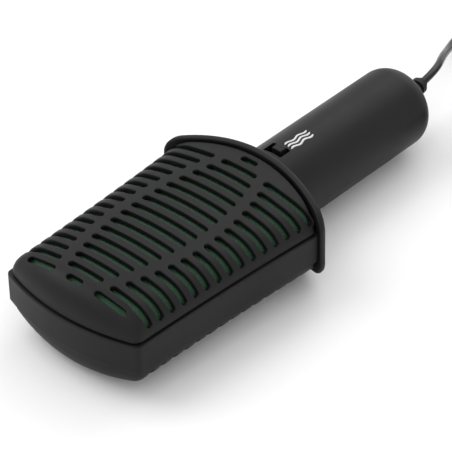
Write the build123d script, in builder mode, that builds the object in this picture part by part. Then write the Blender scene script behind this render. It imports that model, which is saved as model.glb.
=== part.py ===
from build123d import *
import os
from math import cos, pi, radians, sin, sqrt, tan

os.makedirs("parts", exist_ok=True)

# Boot dryer: a slotted, domed drying head on a round handle with a slide switch and a mains cord.
# Frame: +X from the toe to the handle's end, +Z up, origin on the surface that the dryer lies on,
# under the middle of the dryer without its cord. All sizes are in millimetres.

# ---- driving dimensions ----
length = 193.0          # toe of the band to the handle's closed end
wall = 2.2              # moulded wall of the grilles, the band and the handle
running = 0.3           # gap round pieces that move
seat = 0.2              # gap between pieces that are fitted together

# head, measured from the plane that mirrors the two grilles
crown = 19.1            # height of a grille's crown
dome_r = 111.0          # radius of the crown across the head
shoulder_r = 9.0        # rounding between the crown and the sides
band_half = 6.1         # half height of the band between the grilles
band_proud = 1.2        # how far the band stands out past the grilles
shadow_gap = 0.5        # open joint between the band's edge and a grille
tongue_low = 1.6        # how far a grille's tongue reaches down inside the band
tongue_back = 0.5       # how far the tongue's inner face stands past the wall's
band_corner = 2.5       # plan rounding of the band at the toe
band_ease = 0.5         # rounding of the band's edges
toe_half = 32.0         # half width at the toe
waist_half = 34.2       # half width at the waist
heel_half = 37.0        # half width at the flange
toe_r = 92.0            # plan radius of the toe
heel_r = 80.0           # plan radius of the grille's edge at the flange
heel_x = 8.5            # where that edge crosses the middle line
toe_x = -length / 2 + band_proud
waist_x = -38.5

# flange: the curved end plate of the head frame
flange_gap = 0.9
flange_t = 2.6
flange_proud = 1.2      # how far it stands above the crown
flange_half = 40.0
flange_corner = 8.5
flange_ease = 0.9       # rounding of its edges
foot_flat = 0.4         # depth of the flat that it lies on

# heights over the surface
mid = crown + flange_proud - foot_flat
axis_z = mid - 1.4      # the handle's axis

# slots of a grille
slot_w = 2.85
slot_pitch = 5.785
slot_count = 17
first_slot = 4.5        # station of the middle row's slot nearest the flange
web_r = 111.0           # radius of the two webs between the rows
web_x = -41.7           # where the webs stand furthest apart
web_outer = 20.25       # inner ends of the side rows there
web_inner = 16.1        # ends of the middle row there
end_slot_half = 3.8
slot_foot = 9.6         # how far down the sides the slots reach, from the mirror plane
last_side_end = 24.7    # outer end of the last side slots, which stay on the crown

# handle and neck
handle_r = 16.6
handle_end_r = 9.0
handle_bore = handle_r - wall
neck_r = handle_bore - seat
neck_bore = 11.8
neck_end = 34.0
throat_r = 13.6

# slide switch
window_x = (17.8, 23.8)
window_y = (-3.6, 5.2)
knob_x = 3.5
knob_y = 4.3
knob_top = 17.4         # radius of the knob's top from the handle's axis
knob_place = (21.5, 0.15)
slide_travel = 2.4

# cord
cord_d = 3.2
cord_length = 1200.0
coil_x, coil_y = 181.0, -12.0
coil_in, coil_out = 12.7, 23.5
coil_h = 13.0
tie_t = 0.6
relief_lean = 8.0       # degrees that the strain relief bends to +Y

# screws
screw_shank_r = 1.1
screw_head_r = 2.6
screw_boss_r = 2.6      # bosses that take the handle screws
screw_boss_h = 2.8
thread = 0.05           # room round a screw's shank in the piece that it bites into
pan_head_d, pan_head_h = 3.8, 1.3
handle_screw_x = (19.5, 29.0)

cut_far = 300.0         # longer than any cut needs

mirror_plane = Plane.XY.offset(mid)


def save(piece, name):
    """Label a finished piece and write it as its own file."""
    piece.part.label = name
    export_step(piece.part, f"parts/{name}.step")


def axle_plane(x):
    """Plane across the handle at x, with its origin on the handle's axis."""
    return Plane(origin=(x, 0, axis_z), x_dir=(0, 1, 0), z_dir=(1, 0, 0))


def head_plan(grow):
    """Plan of the head: a wide arc at the toe, bowed sides and a wide arc at the flange."""
    corner_x = toe_x + toe_r - sqrt(toe_r**2 - toe_half**2)
    heel_corner = heel_x - heel_r + sqrt(heel_r**2 - heel_half**2)
    with BuildLine() as edge:
        ThreePointArc((corner_x, -toe_half), (toe_x, 0), (corner_x, toe_half))
        ThreePointArc((corner_x, toe_half), (waist_x, waist_half), (heel_corner, heel_half))
        ThreePointArc((heel_corner, heel_half), (heel_x, 0), (heel_corner, -heel_half))
        ThreePointArc((heel_corner, -heel_half), (waist_x, -waist_half), (corner_x, -toe_half))
    make_face(edge.edges())
    if grow:
        offset(amount=grow, kind=Kind.INTERSECTION)


def head_half(grow, base, ease=1.0):
    """Upper half of the head as one solid, standing on the height `base` over the mirror plane.

    `ease` makes an inner form's shoulders a little sharper than an even wall would.
    """
    corner_r = shoulder_r + grow + 0.6 + 0.9 * ease
    rim_r = shoulder_r + grow - ease
    with BuildPart() as half:
        with BuildSketch(mirror_plane.offset(base)):
            head_plan(grow)
        extrude(amount=crown - base + grow + 1)
        with BuildSketch(Plane.YZ):
            with Locations((0, mid + crown - dome_r)):
                Circle(dome_r + grow)
        extrude(amount=length, both=True, mode=Mode.INTERSECT)
        corners = half.edges().filter_by(Axis.Z).sort_by(Axis.X)
        fillet(corners[:2], corner_r)
        rim = half.faces().sort_by(Axis.Z)[-1].edges()
        fillet(rim.sort_by(Axis.X)[:-1], rim_r)
    return half.part


def web_end(apex, x):
    """Distance from the middle line to a web's edge at the station x."""
    return apex - web_r + sqrt(web_r**2 - (x - web_x) ** 2)


def grille_slots():
    """All the slots of one grille, drawn in plan."""
    for i in range(slot_count):
        x = first_slot - i * slot_pitch
        at_end = i in (0, slot_count - 1)
        half = end_slot_half if at_end else web_end(web_inner, x)
        with Locations((x, 0)):
            SlotOverall(2 * half, slot_w, rotation=90)
        if i == 0:
            continue
        near = web_end(web_outer, x)
        far = last_side_end if i == slot_count - 1 else heel_half + 6
        with Locations((x, (near + far) / 2), (x, -(near + far) / 2)):
            SlotOverall(far - near, slot_w, rotation=90)


def cut_throat():
    """Opening towards the neck, through the back of a grille or a lining."""
    with BuildSketch(Plane(origin=(heel_x - 7, 0, mid), x_dir=(0, 1, 0), z_dir=(1, 0, 0))) as throat:
        Circle(throat_r)
    extrude(throat.sketch, amount=12, mode=Mode.SUBTRACT)


# ---- grilles ----
cover_outer = head_half(0, band_half + shadow_gap, ease=0)
cover_inner = head_half(-wall, band_half + shadow_gap)

with BuildPart() as top_grille:
    add(cover_outer)
    add(cover_inner, mode=Mode.SUBTRACT)
    # tongue that registers inside the band
    with BuildSketch(mirror_plane.offset(band_half - tongue_low)):
        head_plan(-band_proud - seat)
        with BuildSketch(mode=Mode.SUBTRACT):
            head_plan(-wall - tongue_back)
    extrude(amount=tongue_low + shadow_gap + wall)
    with BuildSketch(mirror_plane.offset(slot_foot)):
        grille_slots()
    extrude(amount=crown, mode=Mode.SUBTRACT)
    cut_throat()
save(top_grille, "top_grille")

with BuildPart() as bottom_grille:
    mirror(top_grille.part, about=mirror_plane)
save(bottom_grille, "bottom_grille")

# ---- woven lining behind each grille ----
lining_gap = 0.4
lining_t = 0.6
lining_base = band_half - shadow_gap
lining_outer = -wall - tongue_back - lining_gap
with BuildPart() as top_lining:
    add(head_half(lining_outer, lining_base))
    add(head_half(lining_outer - lining_t, lining_base), mode=Mode.SUBTRACT)
    cut_throat()
save(top_lining, "top_lining")

with BuildPart() as bottom_lining:
    mirror(top_lining.part, about=mirror_plane)
save(bottom_lining, "bottom_lining")

# ---- head frame: band, flange and neck in one moulding ----
boss_x = (-78.0, -10.0)         # stations of the heater brackets
boss_half = (28.0, 31.8)        # their screws, from the middle line
boss_w = 5.0
boss_low = -4.6
boss_top = -2.0

with BuildPart() as flange:
    with BuildSketch(Plane.YZ):
        with Locations((0, mid)):
            Rectangle(2 * flange_half, 2 * crown + 10)
        for side in (1, -1):
            with Locations((0, mid + side * (crown - dome_r))):
                Circle(dome_r + flange_proud, mode=Mode.INTERSECT)
        fillet(vertices(), flange_corner)
    extrude(amount=length, both=True)
    with BuildSketch(Plane.XY.offset(-5)):
        with Locations((heel_x - heel_r, 0)):
            Circle(heel_r + flange_gap + flange_t)
            Circle(heel_r + flange_gap, mode=Mode.SUBTRACT)
    extrude(amount=cut_far, mode=Mode.INTERSECT)
    split(bisect_by=Plane.YZ.offset(-40), keep=Keep.TOP)
    fillet(flange.edges(), flange_ease)
    split(bisect_by=Plane.XY, keep=Keep.TOP)

with BuildPart() as head_frame:
    with BuildSketch(mirror_plane.offset(-band_half)):
        head_plan(band_proud)
        fillet(vertices().sort_by(Axis.X)[:2], band_corner)
    extrude(amount=2 * band_half)
    rims = head_frame.faces().filter_by(Axis.Z).edges().sort_by(Axis.X)
    fillet(rims[:-2], band_ease)
    with BuildSketch(mirror_plane.offset(-band_half)):
        head_plan(-band_proud)
    extrude(amount=2 * band_half, mode=Mode.SUBTRACT)
    add(flange.part)
    for x, half in zip(boss_x, boss_half):
        with BuildSketch(mirror_plane.offset(boss_low)):
            with Locations((x, half + 1), (x, -half - 1)):
                Rectangle(boss_w, boss_w + 3)
        extrude(amount=boss_top - boss_low)
    with BuildSketch(axle_plane(heel_x + 2)):
        Circle(neck_r)
    extrude(amount=neck_end - heel_x - 2)
    with BuildSketch(axle_plane(heel_x - 4)):
        Circle(neck_bore)
    extrude(amount=neck_end, mode=Mode.SUBTRACT)
    # the neck is open over the switch, and the handle screws bite into its floor
    with BuildSketch(Plane.XY.offset(axis_z + 2)):
        with Locations((sum(window_x) / 2, 0)):
            Rectangle(16, 19)
    extrude(amount=neck_r, mode=Mode.SUBTRACT)
    with BuildSketch(Plane.XY.offset(axis_z - neck_r - 1)):
        with Locations(*[(x, 0) for x in handle_screw_x]):
            Circle(screw_shank_r + thread)
    extrude(amount=5, mode=Mode.SUBTRACT)
    # bracket screws
    with BuildSketch(mirror_plane.offset(boss_low)):
        for x, half in zip(boss_x, boss_half):
            with Locations((x, half), (x, -half)):
                Circle(screw_shank_r + thread)
    extrude(amount=boss_top - boss_low, mode=Mode.SUBTRACT)
save(head_frame, "head_frame")


def screw(plane, head_d, head_h, shank_d, shank_l):
    """Pan-head screw whose head stands on `plane`; the shank runs the other way."""
    with BuildPart() as one:
        with BuildSketch(plane):
            Circle(head_d / 2)
        extrude(amount=head_h)
        top = one.faces().sort_by(Axis(plane.origin, plane.z_dir))[-1]
        fillet(top.edges(), head_h / 3)
        with BuildSketch(plane):
            Circle(shank_d / 2)
        extrude(amount=-shank_l)
        with BuildSketch(plane.offset(head_h)):
            Rectangle(head_d * 0.62, head_d * 0.14)
            Rectangle(head_d * 0.14, head_d * 0.62)
        extrude(amount=-head_h * 0.55, mode=Mode.SUBTRACT)
    return one.part


def screws(planes, head_d, head_h, shank_d, shank_l):
    """Like screws as separate solids of one node."""
    with BuildPart() as group:
        for plane in planes:
            add(screw(plane, head_d, head_h, shank_d, shank_l))
    return group


# ---- handle shell ----
end_x = length / 2
relief_hole_r = 2.9

with BuildPart() as handle_inside:
    with BuildSketch(axle_plane(0)):
        Circle(handle_bore)
    extrude(amount=end_x - wall)
    fillet(handle_inside.faces().sort_by(Axis.X)[-1].edges(), handle_end_r - wall)

with BuildPart() as handle_shell:
    with BuildSketch(axle_plane(heel_x)):
        Circle(handle_r)
    extrude(amount=end_x - heel_x)
    fillet(handle_shell.faces().sort_by(Axis.X)[-1].edges(), handle_end_r)
    add(handle_inside.part, mode=Mode.SUBTRACT)
    # front edge follows the curved flange
    with BuildSketch(Plane.XY.offset(-5)):
        with Locations((heel_x - heel_r, 0)):
            Circle(heel_r + flange_gap + flange_t)
    extrude(amount=cut_far, mode=Mode.SUBTRACT)
    # switch window
    with BuildSketch(Plane.XY.offset(axis_z + 5)):
        with Locations((sum(window_x) / 2, sum(window_y) / 2)):
            RectangleRounded(window_x[1] - window_x[0], window_y[1] - window_y[0], 0.6)
    extrude(amount=handle_r, mode=Mode.SUBTRACT)
    # cord hole in the closed end, screw holes underneath
    with BuildSketch(axle_plane(end_x - 2 * wall)):
        Circle(relief_hole_r)
    extrude(amount=3 * wall, mode=Mode.SUBTRACT)
    with BuildSketch(Plane.XY.offset(axis_z - handle_r - 1)):
        with Locations(*[(x, 0) for x in handle_screw_x]):
            Circle(1.6)
    extrude(amount=5, mode=Mode.SUBTRACT)
    with BuildSketch(Plane.XY.offset(axis_z - handle_r - 1)):
        with Locations(*[(x, 0) for x in handle_screw_x]):
            Circle(screw_head_r + 0.2)
    extrude(amount=2.1, mode=Mode.SUBTRACT)
save(handle_shell, "handle_shell")

# ---- chassis in the handle: carries the switch and the cord clamp ----
tray_z = axis_z - 8.2           # underside of the tray
tray_t = 1.8
tray_start, tray_end = 12.0, 88.0
tray_step = neck_end + 1        # where the tray widens, past the neck
tray_neck_half = 7.5
tray_half = 9.5
post_x = (13.6, 29.4)           # middle of the posts that carry the switch
post_l = 3.2
post_half = 4.5
bracket_z = axis_z + 2.8        # underside of the switch bracket
bracket_t = 0.8
clamp_x = (79.0, 86.0)
clamp_half = 7.5
clamp_t = 2.0
clamp_spots = [(sum(clamp_x) / 2, side * 5.2) for side in (1, -1)]
switch_shank_r = 0.85
stub_r = cord_d / 2

with BuildPart() as chassis:
    with BuildSketch(Plane.XY.offset(tray_z)):
        with Locations(((tray_start + tray_step) / 2, 0)):
            Rectangle(tray_step - tray_start, 2 * tray_neck_half)
        with Locations(((tray_step + tray_end) / 2, 0)):
            Rectangle(tray_end - tray_step, 2 * tray_half)
    extrude(amount=tray_t)
    with BuildSketch(Plane.XY.offset(tray_z)):
        with Locations(*[(x, 0) for x in post_x]):
            Rectangle(post_l, 2 * post_half)
    extrude(amount=bracket_z - tray_z)
    with BuildSketch(Plane.XY.offset(tray_z)):
        with Locations((sum(clamp_x) / 2, 0)):
            Rectangle(clamp_x[1] - clamp_x[0], 2 * clamp_half)
    extrude(amount=axis_z - running - tray_z)
    # bosses that take the ends of the handle screws
    with BuildSketch(Plane.XY.offset(tray_z - screw_boss_h)):
        with Locations(*[(x, 0) for x in handle_screw_x]):
            Circle(screw_boss_r)
    extrude(amount=screw_boss_h)
    # groove for the cord, screw holes
    with BuildSketch(axle_plane(clamp_x[0] - 1)):
        Circle(stub_r + 0.05)
    extrude(amount=clamp_x[1] - clamp_x[0] + 2, mode=Mode.SUBTRACT)
    with BuildSketch(Plane.XY.offset(bracket_z - 5)):
        with Locations(*[(x, 0) for x in post_x]):
            Circle(switch_shank_r)
    extrude(amount=6, mode=Mode.SUBTRACT)
    with BuildSketch(Plane.XY.offset(axis_z - 6)):
        with Locations(*clamp_spots):
            Circle(screw_shank_r + thread)
    extrude(amount=8, mode=Mode.SUBTRACT)
    with BuildSketch(Plane.XY.offset(tray_z - 3)):
        with Locations(*[(x, 0) for x in handle_screw_x]):
            Circle(screw_shank_r + thread)
    extrude(amount=4, mode=Mode.SUBTRACT)
save(chassis, "chassis")

# ---- slide switch: base, terminals, body, bracket, and the knob with its contact ----
switch_x = 10.0
switch_y = 16.6
switch_mid = knob_place[0]
base_z = bracket_z + bracket_t
base_t = 1.2
body_top = axis_z + 10.9
body_wall = 1.2
blade_y = (-4.5, 0.0, 4.5)
blade_w, blade_t = 2.8, 0.8
blade_low = axis_z - 3.5
contact_z = base_z + base_t + 1.5

with BuildPart() as switch_bracket:
    with BuildSketch(Plane.XY.offset(bracket_z)):
        with Locations((switch_mid, 0)):
            Rectangle(post_x[1] - post_x[0] + 3.2, 15.4)
        with Locations((switch_mid, 0)):
            Rectangle(4.4, 12, mode=Mode.SUBTRACT)
        with Locations(*[(x, 0) for x in post_x]):
            Circle(1.1, mode=Mode.SUBTRACT)
    extrude(amount=bracket_t)
save(switch_bracket, "switch_bracket")

with BuildPart() as switch_base:
    with BuildSketch(Plane.XY.offset(base_z)):
        with Locations((switch_mid, 0)):
            Rectangle(switch_x, switch_y)
        with Locations(*[(switch_mid, y) for y in blade_y]):
            Rectangle(blade_w, blade_t, mode=Mode.SUBTRACT)
    extrude(amount=base_t)
save(switch_base, "switch_base")

with BuildPart() as switch_terminals:
    with BuildSketch(Plane.XY.offset(blade_low)):
        with Locations(*[(switch_mid, y) for y in blade_y]):
            Rectangle(blade_w, blade_t)
    extrude(amount=contact_z - running - blade_low)
save(switch_terminals, "switch_terminals")

with BuildPart() as switch_body:
    with BuildSketch(Plane.XY.offset(base_z + base_t)):
        with Locations((switch_mid, 0)):
            Rectangle(switch_x, switch_y)
    extrude(amount=body_top - base_z - base_t)
    with BuildSketch(Plane.XY.offset(base_z + base_t)):
        with Locations((switch_mid, 0)):
            Rectangle(switch_x - 2 * body_wall, switch_y - 2 * body_wall)
    extrude(amount=body_top - base_z - base_t - body_wall, mode=Mode.SUBTRACT)
    with BuildSketch(Plane.XY.offset(base_z)):
        with Locations((switch_mid, knob_place[1] + slide_travel / 2)):
            Rectangle(knob_x + 2 * running, knob_y + slide_travel + 2 * running)
    extrude(amount=body_top - base_z + 1, mode=Mode.SUBTRACT)
save(switch_body, "switch_body")

skirt_top = body_top - body_wall - running
with BuildPart() as switch_knob:
    with BuildSketch(Plane.XY.offset(skirt_top - 1)):
        with Locations(knob_place):
            Rectangle(knob_x + 2.2, knob_y + 3)
    extrude(amount=1)
    with BuildSketch(Plane.XY.offset(contact_z + 0.5)):
        with Locations(knob_place):
            Rectangle(knob_x, knob_y)
    extrude(amount=axis_z + knob_top - contact_z - 0.5)
    fillet(switch_knob.faces().sort_by(Axis.Z)[-1].edges(), 0.4)
save(switch_knob, "switch_knob")

with BuildPart() as switch_contact:
    with BuildSketch(Plane.XY.offset(contact_z)):
        with Locations(knob_place):
            Rectangle(knob_x, knob_y + 1.6)
    extrude(amount=0.5)
save(switch_contact, "switch_contact")

# ---- cord clamp ----
clamp_z = axis_z + stub_r
with BuildPart() as cord_clamp:
    with BuildSketch(Plane.XY.offset(clamp_z)):
        with Locations((sum(clamp_x) / 2, 0)):
            Rectangle(clamp_x[1] - clamp_x[0] - 1, 2 * clamp_half)
    extrude(amount=clamp_t)
    fillet(cord_clamp.edges().filter_by(Axis.Z), 1)
    with BuildSketch(Plane.XY.offset(clamp_z - 1)):
        with Locations(*clamp_spots):
            Circle(screw_shank_r + 0.1)
    extrude(amount=4, mode=Mode.SUBTRACT)
save(cord_clamp, "cord_clamp")

# ---- heater ----
case_x = (-75.5, -13.0)
case_half, case_t = 13.0, 3.6
film_half, film_t = 11.0, 1.9
stone = (18.0, 19.0, 1.0)       # length, width, half thickness
plate_t = 0.4
fin_pitch, fin_t, fin_h, fin_count = 4.0, 1.0, 7.5, 12
fin_start = -72.0
fin_base = 1.0
case_mid = sum(case_x) / 2
case_l = case_x[1] - case_x[0]


def slab(x, y, half_x, half_y, low, high):
    """Box between two heights over the mirror plane, centred on (x, y)."""
    with BuildSketch(mirror_plane.offset(low)) as plan:
        with Locations((x, y)):
            Rectangle(2 * half_x, 2 * half_y)
    return extrude(plan.sketch, amount=high - low, mode=Mode.PRIVATE)


with BuildPart() as ptc_case:
    add(slab(case_mid, 0, case_l / 2, case_half, -case_t, case_t))
    add(slab(case_mid, 0, case_l, film_half + 0.2, -film_t - 0.15, film_t + 0.15), mode=Mode.SUBTRACT)
    fillet(ptc_case.edges().filter_by(Axis.X).group_by(Axis.Y)[0], 1)
    fillet(ptc_case.edges().filter_by(Axis.X).group_by(Axis.Y)[-1], 1)
save(ptc_case, "ptc_case")

with BuildPart() as ptc_film:
    add(slab(case_mid, 0, case_l / 2 - 1, film_half, -film_t, film_t))
    add(slab(case_mid, 0, case_l, film_half - 0.5, -film_t + 0.4, film_t - 0.4), mode=Mode.SUBTRACT)
save(ptc_film, "ptc_film")

stone_step = stone[0] + 1.2
with BuildPart() as ptc_stones:
    for i in (-1, 0, 1):
        add(slab(case_mid + i * stone_step, 0, stone[0] / 2, stone[1] / 2, -stone[2], stone[2]))
save(ptc_stones, "ptc_stones")

with BuildPart() as contact_plates:
    for side in (1, -1):
        low, high = sorted((side * (stone[2] + 0.02), side * (stone[2] + plate_t)))
        add(slab(case_mid, 0, case_l / 2 - 2, stone[1] / 2, low, high))
        add(slab(case_x[1] + 1, side * 5, 3.5, 2, low, high))
save(contact_plates, "contact_plates")

with BuildPart() as top_fins:
    fin_l = (fin_count - 1) * fin_pitch + fin_t
    add(slab(fin_start + fin_l / 2, 0, fin_l / 2, case_half - 1, case_t, case_t + fin_base))
    for i in range(fin_count):
        x = fin_start + fin_t / 2 + i * fin_pitch
        add(slab(x, 0, fin_t / 2, case_half - 1, case_t, case_t + fin_h))
save(top_fins, "top_fins")

with BuildPart() as bottom_fins:
    mirror(top_fins.part, about=mirror_plane)
save(bottom_fins, "bottom_fins")

bar_half = (30.2, 33.6)
bar_w = 4.0
with BuildPart() as heater_brackets:
    for x, half, boss, case_end in zip(boss_x, bar_half, boss_half, case_x):
        add(slab(x, 0, bar_w / 2, half, boss_top, 1.0))
        add(slab(x, 0, bar_w / 2, case_half + 1, boss_top, 5.2))
        add(slab(x, 0, bar_w / 2, case_half + 1, -5.2, boss_top))
        add(slab(x, 0, bar_w, film_half - 1, -film_t, film_t), mode=Mode.SUBTRACT)
        for side in (1, -1):
            add(slab(x, side * boss, screw_shank_r + 0.1, screw_shank_r + 0.1, -4, 4), mode=Mode.SUBTRACT)
        lip = case_end + (1.2 if x < case_mid else -1.2)
        lip_mid = (x + lip) / 2
        add(slab(lip_mid, 0, abs(x - lip) / 2, case_half, case_t + 0.02, 5.2))
        add(slab(lip_mid, 0, abs(x - lip) / 2, case_half, -5.2, -case_t - 0.02))
save(heater_brackets, "heater_brackets")

sensor_x = -19.5                # station of the thermostat and of the thermal fuse
with BuildPart() as thermostat:
    add(slab(sensor_x, 0, 3.8, 9, case_t + 0.02, case_t + 4))
    fillet(thermostat.edges().filter_by(Axis.Z), 1)
    add(slab(sensor_x, 10.5, 1, 2, case_t + 1.2, case_t + 1.7))
    add(slab(sensor_x, -10.5, 1, 2, case_t + 1.2, case_t + 1.7))
save(thermostat, "thermostat")

fuse_r = 2.0
with BuildPart() as thermal_fuse:
    fuse_plane = Plane(origin=(sensor_x, -5.5, mid - case_t - fuse_r - 0.6), z_dir=(0, 1, 0))
    with BuildSketch(fuse_plane):
        Circle(fuse_r)
    extrude(amount=11)
    with BuildSketch(fuse_plane.offset(-4)):
        Circle(0.5)
    extrude(amount=19)
save(thermal_fuse, "thermal_fuse")

with BuildPart() as fuse_clip:
    add(slab(sensor_x, 0, 3.2, 2, -case_t - 2 * fuse_r - 1.2, -case_t - 0.02))
    with BuildSketch(fuse_plane.offset(-1)):
        Circle(fuse_r + 0.05)
    extrude(amount=14, mode=Mode.SUBTRACT)
save(fuse_clip, "fuse_clip")

shield_x = heel_x + 1.0
lead_holes = ((-6.5, 1.0), (-7.6, -5.0))     # y and height over the handle's axis
with BuildPart() as heat_shield:
    with BuildSketch(axle_plane(shield_x)):
        Circle(neck_bore - 0.1)
        for y, z in lead_holes:
            with Locations((y, z)):
                Circle(1.8, mode=Mode.SUBTRACT)
    extrude(amount=0.8)
save(heat_shield, "heat_shield")

# ---- leads inside the dryer ----
lead_r = 0.9


def lead(points, radii, r=lead_r):
    """Insulated lead along straight runs joined by tangent arcs."""
    with BuildLine() as path:
        FilletPolyline(*points, radius=radii)
    start = path.line @ 0
    with BuildSketch(Plane(origin=start, z_dir=path.line % 0)) as section:
        Circle(r)
    return sweep(section.sketch, path=path.line, mode=Mode.PRIVATE)


solder = blade_t / 2 + lead_r + 0.05
stub_end = 70.0
lead_z = axis_z - 1.5
with BuildPart() as live_lead:
    add(lead([
        (stub_end - 0.2, 0.95, axis_z), (62, 2, axis_z - 0.5), (52, 6, lead_z),
        (33, 7.4, lead_z), (switch_mid - 1, blade_y[2] + solder, lead_z)], [12, 14, 10]))
save(live_lead, "live_lead")

with BuildPart() as switched_lead:
    add(lead([
        (switch_mid + 1, blade_y[0] - solder, lead_z), (14, -6.3, axis_z - 0.6),
        (6, lead_holes[0][0], axis_z + lead_holes[0][1]),
        (-2, -7.5, mid + 6), (-9, -10, mid + 7.6), (-17.2, -11.6, mid + 5.4)], [6, 8, 8, 8]))
save(switched_lead, "switched_lead")

with BuildPart() as neutral_lead:
    add(lead([
        (stub_end - 0.2, -0.95, axis_z), (62, -3, axis_z - 1), (50, -8.2, axis_z - 3.2),
        (22, -8.7, axis_z - 4), (10, lead_holes[1][0], axis_z + lead_holes[1][1]),
        (0, -8, mid - 6.6), (-10, -10, mid - 7.6), (-18.5, -12, mid - 6.4)], [10, 12, 12, 12, 12, 8]))
save(neutral_lead, "neutral_lead")

with BuildPart() as cord_stub:
    with BuildSketch(axle_plane(stub_end)):
        Circle(stub_r)
    extrude(amount=end_x - wall - 3 - stub_end)
save(cord_stub, "cord_stub")

# ---- screws ----
handle_heads = axis_z - handle_r + 1.1
handle_screws = screws(
    [Plane(origin=(x, 0, handle_heads), z_dir=(0, 0, -1)) for x in handle_screw_x],
    2 * screw_head_r, 1.5, 2 * screw_shank_r, 8)
save(handle_screws, "handle_screws")

switch_screws = screws(
    [Plane(origin=(x, 0, base_z)) for x in post_x], 3.6, 1.1, 2 * switch_shank_r, 5)
save(switch_screws, "switch_screws")

clamp_screws = screws(
    [Plane(origin=(x, y, clamp_z + clamp_t)) for x, y in clamp_spots],
    pan_head_d, pan_head_h, 2 * screw_shank_r, 7)
save(clamp_screws, "clamp_screws")

bracket_screws = screws(
    [Plane(origin=(x, side * half, mid + 1.0)) for x, half in zip(boss_x, boss_half) for side in (1, -1)],
    pan_head_d, pan_head_h, 2 * screw_shank_r, 1.0 - boss_low)
save(bracket_screws, "bracket_screws")

# ---- strain relief: neck through the handle's end, then three ribs on a leaning core ----
rib_r, rib_t, rib_step = 3.5, 2.2, 3.75
rib_first = 1.0
core_r = 2.4
relief_l = 12.6
lean = radians(relief_lean)
relief_plane = Plane(origin=(end_x, 0, axis_z), x_dir=(0, 0, 1), z_dir=(cos(lean), sin(lean), 0))
relief_tip = relief_plane.from_local_coords(Vector(0, 0, relief_l))

with BuildPart() as strain_relief:
    with BuildSketch(axle_plane(end_x - wall - 2)):
        Circle(relief_hole_r + 1.2)
    extrude(amount=1.8)
    with BuildSketch(axle_plane(end_x - wall - 2)):
        Circle(relief_hole_r - 0.1)
    extrude(amount=wall + 2.6)
    with BuildSketch(relief_plane):
        Circle(core_r)
    extrude(amount=relief_l)
    for i in range(3):
        with BuildSketch(relief_plane.offset(rib_first + i * rib_step)):
            Circle(rib_r)
        extrude(amount=rib_t)
    split(bisect_by=Plane.YZ.offset(end_x - wall - 3), keep=Keep.TOP)
    # bore for the end of the sheath inside
    with BuildSketch(axle_plane(end_x - wall - 3)):
        Circle(stub_r + 0.02)
    extrude(amount=0.5, mode=Mode.SUBTRACT)
save(strain_relief, "strain_relief")

# ---- mains cord: free stretch, stored coil, tail, tie and plug ----
floor_z = cord_d / 2 + 0.05
coil_z = cord_d / 2 + tie_t
tip = tuple(relief_tip)
first = tuple(relief_plane.from_local_coords(Vector(0, 0, relief_l + 11)))
route = [
    tip, first, (133.5, 11.0, axis_z - 4.0), (145.5, 17.5, axis_z - 9.6),
    (157.5, 23.0, 5.6), (169.5, 25.8, floor_z + 0.4), (181.5, 24.0, floor_z),
    (191.5, 17.0, floor_z), (198.0, 7.0, floor_z + 0.2), (201.0, -3.0, coil_z)]
coil_top = tie_t + coil_h - cord_d / 2
tail_route = [
    (coil_x + 3, coil_y - 21.6, coil_top), (coil_x - 6, coil_y - 22.2, coil_top - 0.4),
    (coil_x - 13, coil_y - 24.2, coil_top - 1.9), (coil_x - 19, coil_y - 26.0, 7.6),
    (coil_x - 25, coil_y - 26.6, 6.85)]


def bend_radii(points):
    """Largest arc that each corner's two runs allow: 0.45 of the shorter, over tan of half the turn."""
    spots = [Vector(*p) for p in points]
    found = []
    for before, here, after in zip(spots, spots[1:], spots[2:]):
        come, go = here - before, after - here
        turn = radians(come.get_angle(go))
        found.append(0.45 * min(come.length, go.length) / tan(turn / 2))
    return found


def cord_tube(points, name):
    """Round cord along its route; prints its bend radii and compares its volume with its length."""
    radii = bend_radii(points)
    with BuildLine() as path:
        FilletPolyline(*points, radius=radii)
    with BuildSketch(Plane(origin=path.line @ 0, z_dir=path.line % 0)) as section:
        Circle(stub_r)
    tube = sweep(section.sketch, path=path.line, mode=Mode.PRIVATE)
    run = path.wire().length
    print(name, "length", round(run, 1), "radii", [round(r, 1) for r in radii])
    print(name, "volume over section times length", round(tube.volume / (run * pi * stub_r**2), 4))
    return tube, run


lead_out, lead_out_l = cord_tube(route, "power_cord")
with BuildPart() as power_cord:
    add(lead_out)
save(power_cord, "power_cord")

tail, tail_l = cord_tube(tail_route, "cord_tail")
with BuildPart() as cord_tail:
    add(tail)
save(cord_tail, "cord_tail")
coil_turns = (cord_length - lead_out_l - tail_l) / (2 * pi * (coil_in + coil_out) / 2)
print("turns in the coil", round(coil_turns, 2))

with BuildPart() as cord_coil:
    with BuildSketch(Plane.XY.offset(tie_t)):
        with Locations((coil_x, coil_y)):
            Circle(coil_out)
            Circle(coil_in, mode=Mode.SUBTRACT)
    extrude(amount=coil_h)
    fillet(cord_coil.edges().filter_by(GeomType.CIRCLE), 1.4)
save(cord_coil, "cord_coil")

with BuildPart() as coil_tie:
    with BuildSketch(Plane(origin=(coil_x, coil_y + 2.5, 0), x_dir=(1, 0, 0), z_dir=(0, -1, 0))):
        with Locations(((coil_in + coil_out) / 2, coil_h / 2 + tie_t)):
            Rectangle(coil_out - coil_in + 2 * tie_t + 0.5, coil_h + 2 * tie_t)
            Rectangle(coil_out - coil_in + 0.5, coil_h + 0.02, mode=Mode.SUBTRACT)
    extrude(amount=5)
save(coil_tie, "coil_tie")

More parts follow.
